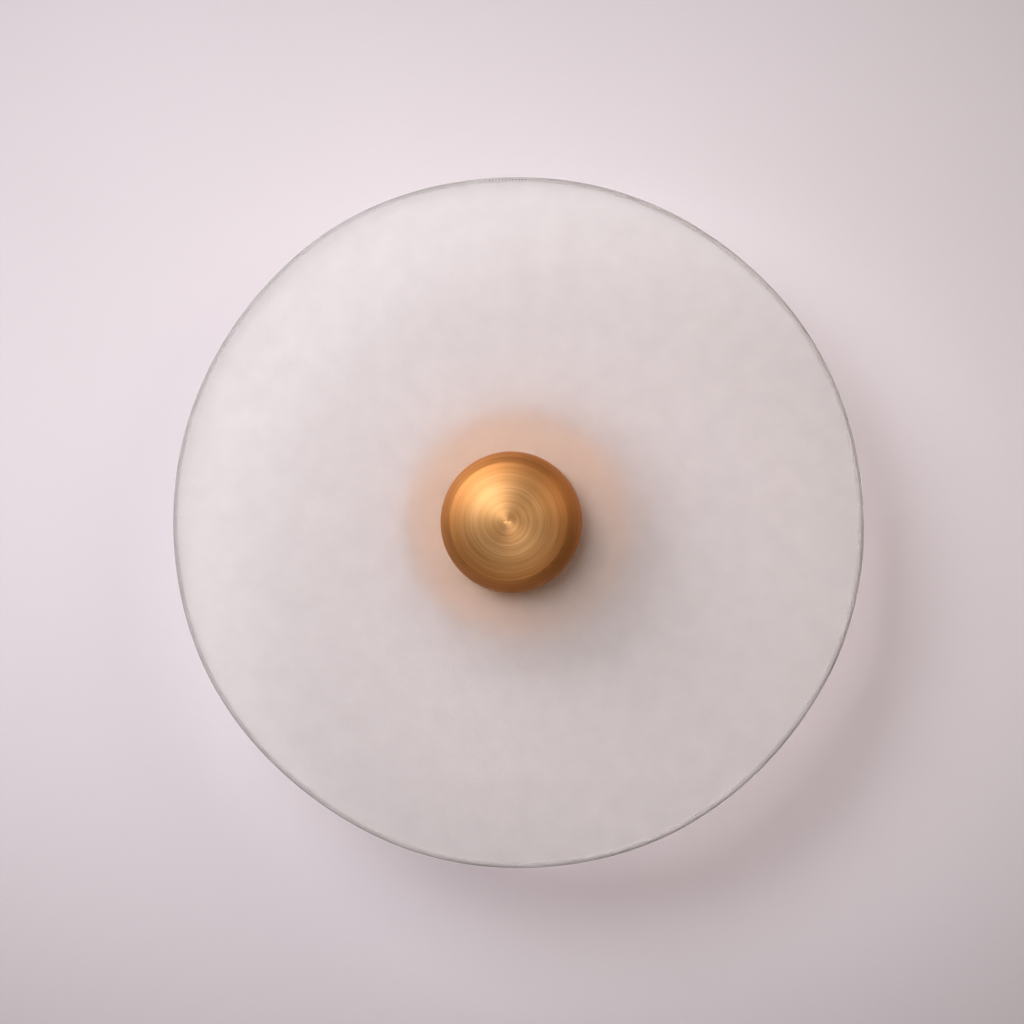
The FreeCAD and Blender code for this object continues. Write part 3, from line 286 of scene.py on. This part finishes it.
turnedMetals = {
    # the side screws are turned round their own axis, which lies along X
    "brassScrew": {"colors": canopyBrass, "roughness": (0.28, 0.42), "bump": 0.000008, "rings": 1800.0,
                   "rotation": (0, 0, quarterTurn), "location": (0.008, 0, 0)},
    "spunBrass": {"colors": canopyBrass, "roughness": (0.30, 0.44), "bump": 0.000012, "rings": 1300.0},
    "turnedRawBrass": {"colors": rawBrass, "roughness": (0.20, 0.34), "bump": 0.00001, "rings": 2600.0},
    "smallZinc": {"colors": zinc, "roughness": (0.24, 0.38), "bump": 0.000006, "rings": 3200.0},
}
straightMetals = {
    "stripZinc": {"colors": zinc, "roughness": (0.30, 0.46), "bump": 0.00001,
                  "along": (40.0, 2200.0, 2200.0)},
    "millAluminium": {"colors": ((0.66, 0.67, 0.68), (0.80, 0.81, 0.82)), "roughness": (0.32, 0.48),
                      "bump": 0.00001, "along": (2200.0, 2200.0, 35.0)},
}
dome = {
    "colors": ((0.62, 0.33, 0.125), (0.73, 0.42, 0.175)), "roughness": (0.50, 0.60), "bump": 0.00001,
    "rings": 2100.0,
    # the brush ran round the axis, so reflections spread across it, from the apex to the rim
    "anisotropic": 0.62, "anisotropicRotation": 0.25,
    # painted shade: the metal is tinted darker and warmer towards the rim
    "rimShadeRadius": (0.014, 0.0345), "rimShadeTint": (0.86, 0.64, 0.45),
    "ringTint": ((0.82, 0.77, 0.72), (1, 1, 1)), "ringRange": (0.36, 0.6),
}


def makeTurnedMetal(name, metal):
    surface = {key: metal[key] for key in ("anisotropic", "anisotropicRotation") if key in metal}
    material, tree, shader = startMaterial(name, metallic=1.0, **surface)
    vector = objectVector(tree, metal.get("location", (0, 0, 0)), metal.get("rotation", (0, 0, 0)))
    lines = placeGroup(tree, turnedRings, vector, Rings=metal["rings"], Streaks=streaksAround)
    color = mixColors(tree, lines.outputs["Bands"], *metal["colors"])
    roughnessFrom(tree, shader, lines.outputs["Fine"], *metal["roughness"])
    bumpFrom(tree, shader, lines.outputs["Fine"], metal["bump"])
    feed(tree, color, shader.inputs["Base Color"])
    return material, tree, shader, vector, lines, color


def makeDomeBrass():
    material, tree, shader, vector, lines, color = makeTurnedMetal("domeBrass", dome)
    tangent = addNode(tree, "ShaderNodeTangent", (-400, -600), direction_type="RADIAL", axis="Y")
    feed(tree, tangent.outputs[0], shader.inputs["Tangent"])
    # fine rings tint the metal, and a painted shade darkens and warms it towards the rim
    x, _y, z = splitVector(tree, vector)
    radius = distanceFromAxis(tree, x, z)
    rimShade = mapRange(tree, radius, *dome["rimShadeRadius"], 0, 1, interpolation_type="SMOOTHSTEP")
    color = multiplyColors(tree, rimShade, color, dome["rimShadeTint"])
    ringTint = mixColors(tree, lines.outputs["Fine"], *dome["ringTint"], *dome["ringRange"])
    feed(tree, multiplyColors(tree, 1.0, color, ringTint), shader.inputs["Base Color"])
    return material


def makeStraightMetal(name, metal):
    material, tree, shader = startMaterial(name, metallic=1.0)
    lines = placeGroup(tree, straightBrush, objectVector(tree), Along=metal["along"])
    feed(tree, mixColors(tree, lines.outputs["Clouds"], *metal["colors"]), shader.inputs["Base Color"])
    roughnessFrom(tree, shader, lines.outputs["Lines"], *metal["roughness"])
    bumpFrom(tree, shader, lines.outputs["Lines"], metal["bump"])
    return material


# Plastics, rubber and insulation: as the metals, with the size of the grain

plastics = {
    "whiteBoard": {"colors": ((0.80, 0.80, 0.78), (0.88, 0.88, 0.86)), "roughness": (0.30, 0.40),
                   "grain": 1500.0},
    "opal": {"colors": ((0.86, 0.85, 0.83), (0.92, 0.91, 0.89)), "roughness": (0.40, 0.50),
             "surface": {"subsurface": 0.3, "subsurfaceScale": 0.002}},
    "nylon": {"colors": ((0.78, 0.76, 0.70), (0.86, 0.84, 0.78)), "roughness": (0.40, 0.52),
              "grain": 2200.0},
    "silicone": {"colors": ((0.70, 0.70, 0.68), (0.80, 0.80, 0.78)), "roughness": (0.45, 0.58),
                 "grain": 1200.0},
    "caseWhite": {"colors": ((0.80, 0.80, 0.79), (0.87, 0.87, 0.86)), "roughness": (0.42, 0.58),
                  "grain": 2600.0, "bump": 0.00003},
}
lead = {
    "roughness": (0.28, 0.42), "grain": 900.0, "bump": 0.000008, "shade": 0.85,
    "colors": {
        "line_lead": (0.20, 0.075, 0.03), "neutral_lead": (0.03, 0.13, 0.45),
        "led_lead_positive": (0.52, 0.03, 0.02), "led_lead_negative": (0.02, 0.02, 0.02),
    },
    "green": (0.05, 0.28, 0.05), "yellow": (0.75, 0.62, 0.05), "stripe": (0.28, 0.34),
}
chips = {
    "count": 12, "circle": 0.045, "windowLength": 0.0026, "windowWidth": 0.002, "ior": 1.45,
    "package": (0.86, 0.86, 0.84), "phosphor": (0.93, 0.72, 0.16),
    "packageRoughness": 0.45, "windowRoughness": 0.25,
}


def makePlastic(name, colors, roughness, grain=3000.0, bump=0.00001, surface=None):
    material, tree, shader = startMaterial(name, **(surface or {}))
    texture = placeGroup(tree, fineGrain, objectVector(tree), Grain=grain)
    feed(tree, mixColors(tree, texture.outputs["Clouds"], *colors), shader.inputs["Base Color"])
    roughnessFrom(tree, shader, texture.outputs["Grain"], *roughness)
    bumpFrom(tree, shader, texture.outputs["Grain"], bump)
    return material


def makeLead(name, color):
    # extruded insulation, slightly uneven in gloss and shade
    shaded = [part * lead["shade"] for part in color]
    return makePlastic(name, (shaded, color), lead["roughness"], lead["grain"], lead["bump"])


def makeEarthLead():
    # green with a yellow stripe that keeps to one side of the lead
    material, tree, shader = startMaterial("earthLead")
    texture = placeGroup(tree, fineGrain, objectVector(tree), Grain=lead["grain"])
    geometry = addNode(tree, "ShaderNodeNewGeometry", (-900, 300))
    side = splitVector(tree, geometry.outputs["Normal"])["X"]
    color = mixColors(tree, side, lead["green"], lead["yellow"], *lead["stripe"])
    feed(tree, color, shader.inputs["Base Color"])
    roughnessFrom(tree, shader, texture.outputs["Grain"], *lead["roughness"])
    return material


def makeLightChips():
    # white packages in polar places round the axis. Their yellow windows don't show yet, because
    # the wrap's third input keeps its 0.5 and would have to be 0
    material, tree, shader = startMaterial("lightChips", ior=chips["ior"])
    x, _y, z = splitVector(tree, objectVector(tree))
    radius = distanceFromAxis(tree, x, z)
    pitch = 2 * math.pi / chips["count"]
    shifted = mathNode(tree, "ADD", mathNode(tree, "ARCTAN2", z, x), pitch / 2)
    within = mathNode(tree, "SUBTRACT", mathNode(tree, "WRAP", shifted, pitch), pitch / 2)
    across = mathNode(tree, "ABSOLUTE", mathNode(tree, "MULTIPLY", within, radius))
    along = mathNode(tree, "ABSOLUTE", mathNode(tree, "SUBTRACT", radius, chips["circle"] / 2))
    inside = mathNode(tree, "MULTIPLY", mathNode(tree, "LESS_THAN", across, chips["windowWidth"] / 2),
                      mathNode(tree, "LESS_THAN", along, chips["windowLength"] / 2))
    color = mixColors(tree, inside, chips["package"], chips["phosphor"], 0.4, 0.6)
    feed(tree, color, shader.inputs["Base Color"])
    gloss = mathNode(tree, "MULTIPLY", inside, chips["windowRoughness"] - chips["packageRoughness"])
    feed(tree, mathNode(tree, "ADD", gloss, chips["packageRoughness"]), shader.inputs["Roughness"])
    return material


# Glass disc: its material, then its mesh

glass = {
    "transmission": 0.83, "ior": 1.5, "roughness": (0.45, 0.58), "shadow": (0.53, 0.505, 0.50),
    "body": ((0.845, 0.835, 0.825), (0.905, 0.895, 0.885)), "grain": 950.0, "lumps": 85.0,
    # edge, edgeBlend and edgePower set a painted shade along the rim
    "edge": (0.93, 0.92, 0.91), "edgeBlend": 0.3, "edgePower": 2.5,
    "bump": 0.00035, "grainHeight": 0.3,
    "vertices": 640, "rings": 22, "thickness": 0.008, "rimFlat": 0.0004, "rimSegments": 7,
    "hole": 0.0072, "meanRadius": 0.175, "offset": (0.0011, 0.0006), "smoothAngle": 50,
    # the last ring stands this many roundings inside the rim, and the rim begins at this share
    "lastRing": 1.35, "rimBegins": 0.99,
    # waves of the hand-cast rim: count, height, angle of a crest in degrees
    "waves": ((2, 0.00065, -30), (4, 0.00025, 25), (5, 0.0002, -18), (8, 0.00025, -17)),
    "waveFade": 1.5, "surfaceHeight": 0.00028, "surfaceSize": 0.028,
}
rounding = (glass["thickness"] - glass["rimFlat"]) / 2


def makeSatinGlass():
    # etched glass: most light goes through and is blurred, the etched skin scatters the rest
    material, tree, shader = startMaterial(
        "satinGlass", metallic=0.0, transmission=glass["transmission"], ior=glass["ior"])
    texture = placeGroup(tree, fineGrain, objectVector(tree), Grain=glass["grain"], Clouds=glass["lumps"])
    grain, clouds = texture.outputs
    body = mixColors(tree, clouds, *glass["body"])
    # painted shade: the colour is darkened where the glass is seen edge-on, which draws a dark line along
    # the rim
    facing = addNode(tree, "ShaderNodeLayerWeight", (-700, 600))
    facing.inputs["Blend"].default_value = glass["edgeBlend"]
    edge = mathNode(tree, "POWER", facing.outputs["Facing"], glass["edgePower"])
    feed(tree, multiplyColors(tree, edge, body, glass["edge"]), shader.inputs["Base Color"])
    roughnessFrom(tree, shader, grain, *glass["roughness"])
    height = mathNode(tree, "ADD", mathNode(tree, "MULTIPLY", grain, glass["grainHeight"]), clouds)
    bumpFrom(tree, shader, height, glass["bump"])
    # shadows are thinner than Cycles makes them for glass
    lightPath = addNode(tree, "ShaderNodeLightPath", (100, 400))
    clearWhere(tree, shader, lightPath.outputs["Is Shadow Ray"], glass["shadow"])
    return material


def rimRadius(angle):
    radius = glass["meanRadius"]
    for count, height, crest in glass["waves"]:
        radius += height * math.cos(count * (angle - math.radians(crest)))
    return radius


def rimShare(point):
    # 1 on the rim, less inside it
    x, z = point.x - glass["offset"][0], point.z - glass["offset"][1]
    return math.hypot(x, z) / rimRadius(math.atan2(z, x))


def startCircle(name, vertices, radius, y):
    # an upright circle round the Y axis
    deselectAll()
    bpy.ops.mesh.primitive_circle_add(
        vertices=vertices, radius=radius, fill_type="NOTHING",
        location=(0, y, 0), rotation=(quarterTurn, 0, 0))
    made = bpy.context.object
    made.name = name
    bpy.ops.object.transform_apply(location=True, rotation=True, scale=True)
    return made


def growRing(factor, y):
    bpy.ops.mesh.extrude_region_move()
    bpy.ops.transform.resize(value=(factor, 1, factor), center_override=(0, y, 0))


def growSheet(backFace):
    disc = startCircle("glassDisc", glass["vertices"], glass["hole"], backFace)
    last = glass["meanRadius"] - rounding * glass["lastRing"]
    step = (last - glass["hole"]) / glass["rings"]
    radii = [glass["hole"] + step * ring for ring in range(glass["rings"] + 1)]
    radii.append(glass["meanRadius"])
    editAll()
    for before, radius in zip(radii, radii[1:]):
        growRing(radius / before, backFace)
    leaveEdit()
    return disc


def waveSheet(disc):
    # the rim's waves and its offset fade out towards the hole
    for vertex in disc.data.vertices:
        radius = math.hypot(vertex.co.x, vertex.co.z)
        angle = math.atan2(vertex.co.z, vertex.co.x)
        outwards = (radius - glass["hole"]) / (glass["meanRadius"] - glass["hole"])
        share = max(0, outwards) ** glass["waveFade"]
        grown = radius + (rimRadius(angle) - glass["meanRadius"]) * share
        vertex.co.x = grown * math.cos(angle) + glass["offset"][0] * share
        vertex.co.z = grown * math.sin(angle) + glass["offset"][1] * share


def thickenSheet(disc, backFace):
    solidify = disc.modifiers.new("thickness", "SOLIDIFY")
    solidify.thickness = glass["thickness"]
    solidify.offset = -1
    bpy.ops.object.modifier_apply(modifier="thickness")
    editAll()
    bpy.ops.mesh.normals_make_consistent(inside=False)
    bpy.ops.mesh.select_all(action="DESELECT")
    leaveEdit()
    # the solid may have grown to either side of the sheet, so it is set between the node's faces
    vertices = disc.data.vertices
    back = max(vertex.co.y for vertex in vertices)
    for vertex in vertices:
        vertex.co.y += backFace - back


def roundRim(disc):
    vertices = disc.data.vertices
    for edge in disc.data.edges:
        first, second = (vertices[index].co for index in edge.vertices)
        flat = abs(first.y - second.y) < glass["thickness"] / 4
        edge.select = flat and min(rimShare(first), rimShare(second)) > glass["rimBegins"]
    bpy.ops.object.mode_set(mode="EDIT")
    bpy.ops.mesh.select_mode(type="EDGE")
    bpy.ops.mesh.bevel(offset=rounding, segments=glass["rimSegments"], profile=0.5, clamp_overlap=False)
    leaveEdit()


def castSurface(disc):
    lumps = bpy.data.textures.new("castLumps", "CLOUDS")
    lumps.noise_scale = glass["surfaceSize"]
    cast = disc.modifiers.new("castSurface", "DISPLACE")
    cast.texture = lumps
    cast.texture_coords = "LOCAL"
    cast.mid_level = 0.5
    cast.strength = glass["surfaceHeight"]
    bpy.ops.object.modifier_apply(modifier="castSurface")
    bpy.ops.object.shade_smooth_by_angle(angle=math.radians(glass["smoothAngle"]))


def buildGlassDisc(finish):
    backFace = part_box("glass_disc")[1].y
    disc = growSheet(backFace)
    waveSheet(disc)
    thickenSheet(disc, backFace)
    roundRim(disc)
    castSurface(disc)
    disc.data.materials.clear()
    disc.data.materials.append(finish)
    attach(disc, "fixture")
    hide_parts("glass_disc")
    print("glass disc:", len(disc.data.polygons), "faces")


# Which node of the frame gets which finish

finishes = {name: makeTurnedMetal(name, metal)[0] for name, metal in turnedMetals.items()}
finishes.update({name: makeStraightMetal(name, metal) for name, metal in straightMetals.items()})
finishes.update({name: makePlastic(name, **plastic) for name, plastic in plastics.items()})
finishes.update({"domeBrass": makeDomeBrass(), "satinGlass": makeSatinGlass(),
                 "lightChips": makeLightChips(), "earthLead": makeEarthLead()})

finishNodes = {
    "stripZinc": ["wall_bracket", "earth_ring_terminal"],
    "smallZinc": ["earth_washer", "earth_screw", "canopy_studs", "stud_washers", "stud_nuts",
                  "board_screws", "stem_lock_washer", "driver_screws", "terminal_screws",
                  "terminal_fixings", "fixture_earth_screw"],
    "brassScrew": ["side_screw_left", "side_screw_right"],
    "spunBrass": ["canopy", "spacer_tube", "rear_seat"],
    "turnedRawBrass": ["stem", "stem_nut", "glass_nut", "dome_hub"],
    "domeBrass": ["dome"],
    "millAluminium": ["carrier_plate"],
    "whiteBoard": ["light_board"],
    "lightChips": ["light_chips"],
    "opal": ["opal_lens"],
    "satinGlass": ["glass_disc"],
    "nylon": ["side_washer_left", "side_washer_right", "board_connector", "glass_bush",
              "dome_slip_ring", "terminal_block"],
    "silicone": ["rear_gasket", "front_gasket"],
    "caseWhite": ["driver"],
    "earthLead": ["earth_lead"],
}
for leadName, leadColor in lead["colors"].items():
    firstWord, *otherWords = leadName.split("_")
    leadFinish = firstWord + "".join(word.title() for word in otherWords)
    finishes[leadFinish] = makeLead(leadFinish, leadColor)
    finishNodes[leadFinish] = [leadName]
print("materials made:", len(finishes))

for finishName, nodeNames in finishNodes.items():
    for nodeName in nodeNames:
        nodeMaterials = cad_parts[nodeName].data.materials
        nodeMaterials.clear()
        nodeMaterials.append(finishes[finishName])
print("nodes finished:", sum(len(nodeNames) for nodeNames in finishNodes.values()))

buildGlassDisc(finishes["satinGlass"])


# Wall and floor

wall = {
    "halfWidth": 0.95, "top": 0.75, "floorLevel": -0.95, "hole": 0.0572, "gap": 0.0004,
    "vertices": 96, "firstGrowth": 2, "holeEnds": 1.5,
    "roughness": 0.85, "specular": 0.25, "grain": 900.0, "clouds": 2.2, "bump": 0.00003,
    "lit": (0.865, 0.81, 0.85), "away": (0.80, 0.75, 0.78), "colorRange": (0.2, 0.6),
}
# painted shade of the key light's falloff over the wall
paintedLightFalloff = {"place": (0.04, 0, -0.03), "width": 0.55, "height": 0.33, "depth": 0.25, "limit": 2.2}
floorPaint = {"colors": ((0.66, 0.63, 0.62), (0.72, 0.69, 0.68)), "roughness": (0.7, 0.8), "grain": 400.0}
floorDepth = 1.9


def squaredShare(tree, value, length):
    share = mathNode(tree, "ABSOLUTE", mathNode(tree, "DIVIDE", value, length))
    return mathNode(tree, "POWER", share, 2)


def makeWallPaint():
    # matt paint with faint roller texture; from behind it can be seen through
    material, tree, shader = startMaterial(
        "wallPaint", roughness=wall["roughness"], specular=wall["specular"])
    texture = placeGroup(tree, fineGrain, objectVector(tree), Grain=wall["grain"], Clouds=wall["clouds"])
    paint = mixColors(tree, texture.outputs["Clouds"], wall["away"], wall["lit"], *wall["colorRange"])
    # painted shade: the wall's colour darkens away from where the key light falls, standing in for the
    # light's falloff
    x, _y, z = splitVector(tree, objectVector(tree, paintedLightFalloff["place"]))
    squares = mathNode(tree, "ADD", squaredShare(tree, x, paintedLightFalloff["width"]),
                       squaredShare(tree, z, paintedLightFalloff["height"]))
    away = mathNode(tree, "MINIMUM", squares, paintedLightFalloff["limit"])
    paintedFalloff = mathNode(tree, "SUBTRACT", 1.0, mathNode(tree, "MULTIPLY", away, paintedLightFalloff["depth"]))
    shadedPaint = addNode(tree, "ShaderNodeVectorMath", (-100, 600), operation="SCALE")
    feed(tree, paint, shadedPaint.inputs[0])
    feed(tree, paintedFalloff, shadedPaint.inputs["Scale"])
    feed(tree, shadedPaint.outputs[0], shader.inputs["Base Color"])
    bumpFrom(tree, shader, texture.outputs["Grain"], wall["bump"])
    geometry = addNode(tree, "ShaderNodeNewGeometry", (100, 500))
    clearWhere(tree, shader, geometry.outputs["Backfacing"])
    return material


def squareOff(panel):
    # pull the outer ring out to the wall's straight edges
    for vertex in panel.data.vertices:
        if math.hypot(vertex.co.x, vertex.co.z) > wall["hole"] * wall["holeEnds"]:
            edgeLevel = wall["top"] if vertex.co.z > 0 else wall["floorLevel"]
            reach = max(abs(vertex.co.x) / wall["halfWidth"], vertex.co.z / edgeLevel)
            vertex.co.x /= reach
            vertex.co.z /= reach


def buildWall():
    # a panel with a round hole behind the canopy, where the junction box would be
    panel = startCircle("wallPanel", wall["vertices"], wall["hole"], wall["gap"])
    editAll()
    growRing(wall["firstGrowth"], wall["gap"])
    leaveEdit()
    squareOff(panel)
    if panel.data.polygons[0].normal.y > 0:
        editAll()
        bpy.ops.mesh.flip_normals()
        leaveEdit()
    panel.data.materials.append(makeWallPaint())


def buildFloor():
    deselectAll()
    bpy.ops.mesh.primitive_plane_add(size=2, location=(0, -floorDepth / 2, wall["floorLevel"]))
    floor = bpy.context.object
    floor.name = "paleFloor"
    floor.scale = (wall["halfWidth"], floorDepth / 2, 1)
    bpy.ops.object.transform_apply(location=True, rotation=True, scale=True)
    floor.data.materials.append(makePlastic("floorPaint", **floorPaint))


buildWall()
buildFloor()
print("wall and floor built")


# Lamps, the room's dim light, and the camera

lamps = {
    "key": {"place": (-0.76, -1.42, 0.76), "aim": (-0.17, 0, 0.03), "size": 1.15, "power": 6.95,
            "color": (1.0, 0.985, 1.02), "spread": 77},
    "side": {"place": (1.3, -1.2, 0.8), "aim": (0.22, 0, 0.2), "size": 1.2, "power": 2.0,
             "color": (1.0, 0.86, 0.72), "spread": 80},
    "behind": {"place": (0.35, 1.6, 0.5), "aim": (0, 0, 0), "size": 0.9, "power": 2.4,
               "color": (1.0, 0.98, 0.96), "spread": 120},
}
room = {
    "above": (0.100, 0.092, 0.089), "below": (0.014, 0.008, 0.005), "heightRange": (0.25, 0.75),
    "left": (1.0, 0.98, 1.0), "right": (1.0, 0.62, 0.36), "sideRange": (0.2, 0.8),
}
camera = {
    "focal": 100.0, "sensor": 36.0, "distance": 1.433, "yaw": 5.5, "pitch": -1.2, "pixels": 1024,
    "axisPixel": (511.7, 522.2),  # where the drilled hole's axis meets the disc's front in the photo
}


def lookFrom(holder, place, aim):
    holder.location = place
    holder.rotation_euler = (aim - place).to_track_quat("-Z", "Y").to_euler()


def addLamp(name, lamp):
    data = bpy.data.lights.new(name, "AREA")
    data.shape = "SQUARE"
    data.size = lamp["size"]
    data.energy = lamp["power"]
    data.color = lamp["color"]
    data.spread = math.radians(lamp["spread"])
    holder = bpy.data.objects.new(name, data)
    scene.collection.objects.link(holder)
    lookFrom(holder, Vector(lamp["place"]), Vector(lamp["aim"]))


def fromZeroToOne(tree, direction):
    # a direction's part runs from -1 to 1
    return mathNode(tree, "MULTIPLY_ADD", direction, 0.5, 0.5)


def buildRoom():
    world = bpy.data.worlds.new("studio")
    scene.world = world
    world.use_nodes = True
    tree = world.node_tree
    coordinates = addNode(tree, "ShaderNodeTexCoord", (-900, 0))
    x, _y, z = splitVector(tree, coordinates.outputs["Generated"])
    level = mixColors(tree, fromZeroToOne(tree, z), room["below"], room["above"], *room["heightRange"])
    tint = mixColors(tree, fromZeroToOne(tree, x), room["left"], room["right"], *room["sideRange"])
    feed(tree, multiplyColors(tree, 1.0, level, tint), tree.nodes["Background"].inputs["Color"])


def addCamera():
    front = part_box("glass_disc")[0].y
    target = Vector((0, front, 0))
    yaw, pitch = math.radians(camera["yaw"]), math.radians(camera["pitch"])
    away = Vector((math.sin(yaw) * math.cos(pitch), -math.cos(yaw) * math.cos(pitch), math.sin(pitch)))
    data = bpy.data.cameras.new("photoCamera")
    data.lens = camera["focal"]
    data.sensor_width = camera["sensor"]
    holder = bpy.data.objects.new("photoCamera", data)
    scene.collection.objects.link(holder)
    # the axis lies off the picture's middle, so the camera aims a little beside it
    pixel = camera["sensor"] / camera["focal"] * camera["distance"] / camera["pixels"]
    rightwards = Vector((math.cos(yaw), math.sin(yaw), 0))
    upwards = rightwards.cross(-away)
    across, down = (place - camera["pixels"] / 2 for place in camera["axisPixel"])
    aim = target - rightwards * pixel * across + upwards * pixel * down
    lookFrom(holder, target + away * camera["distance"], aim)
    scene.camera = holder


for lampName, lampValues in lamps.items():
    addLamp(lampName, lampValues)
buildRoom()
addCamera()
scene.view_settings.view_transform = "Standard"
print("lamps and camera set")
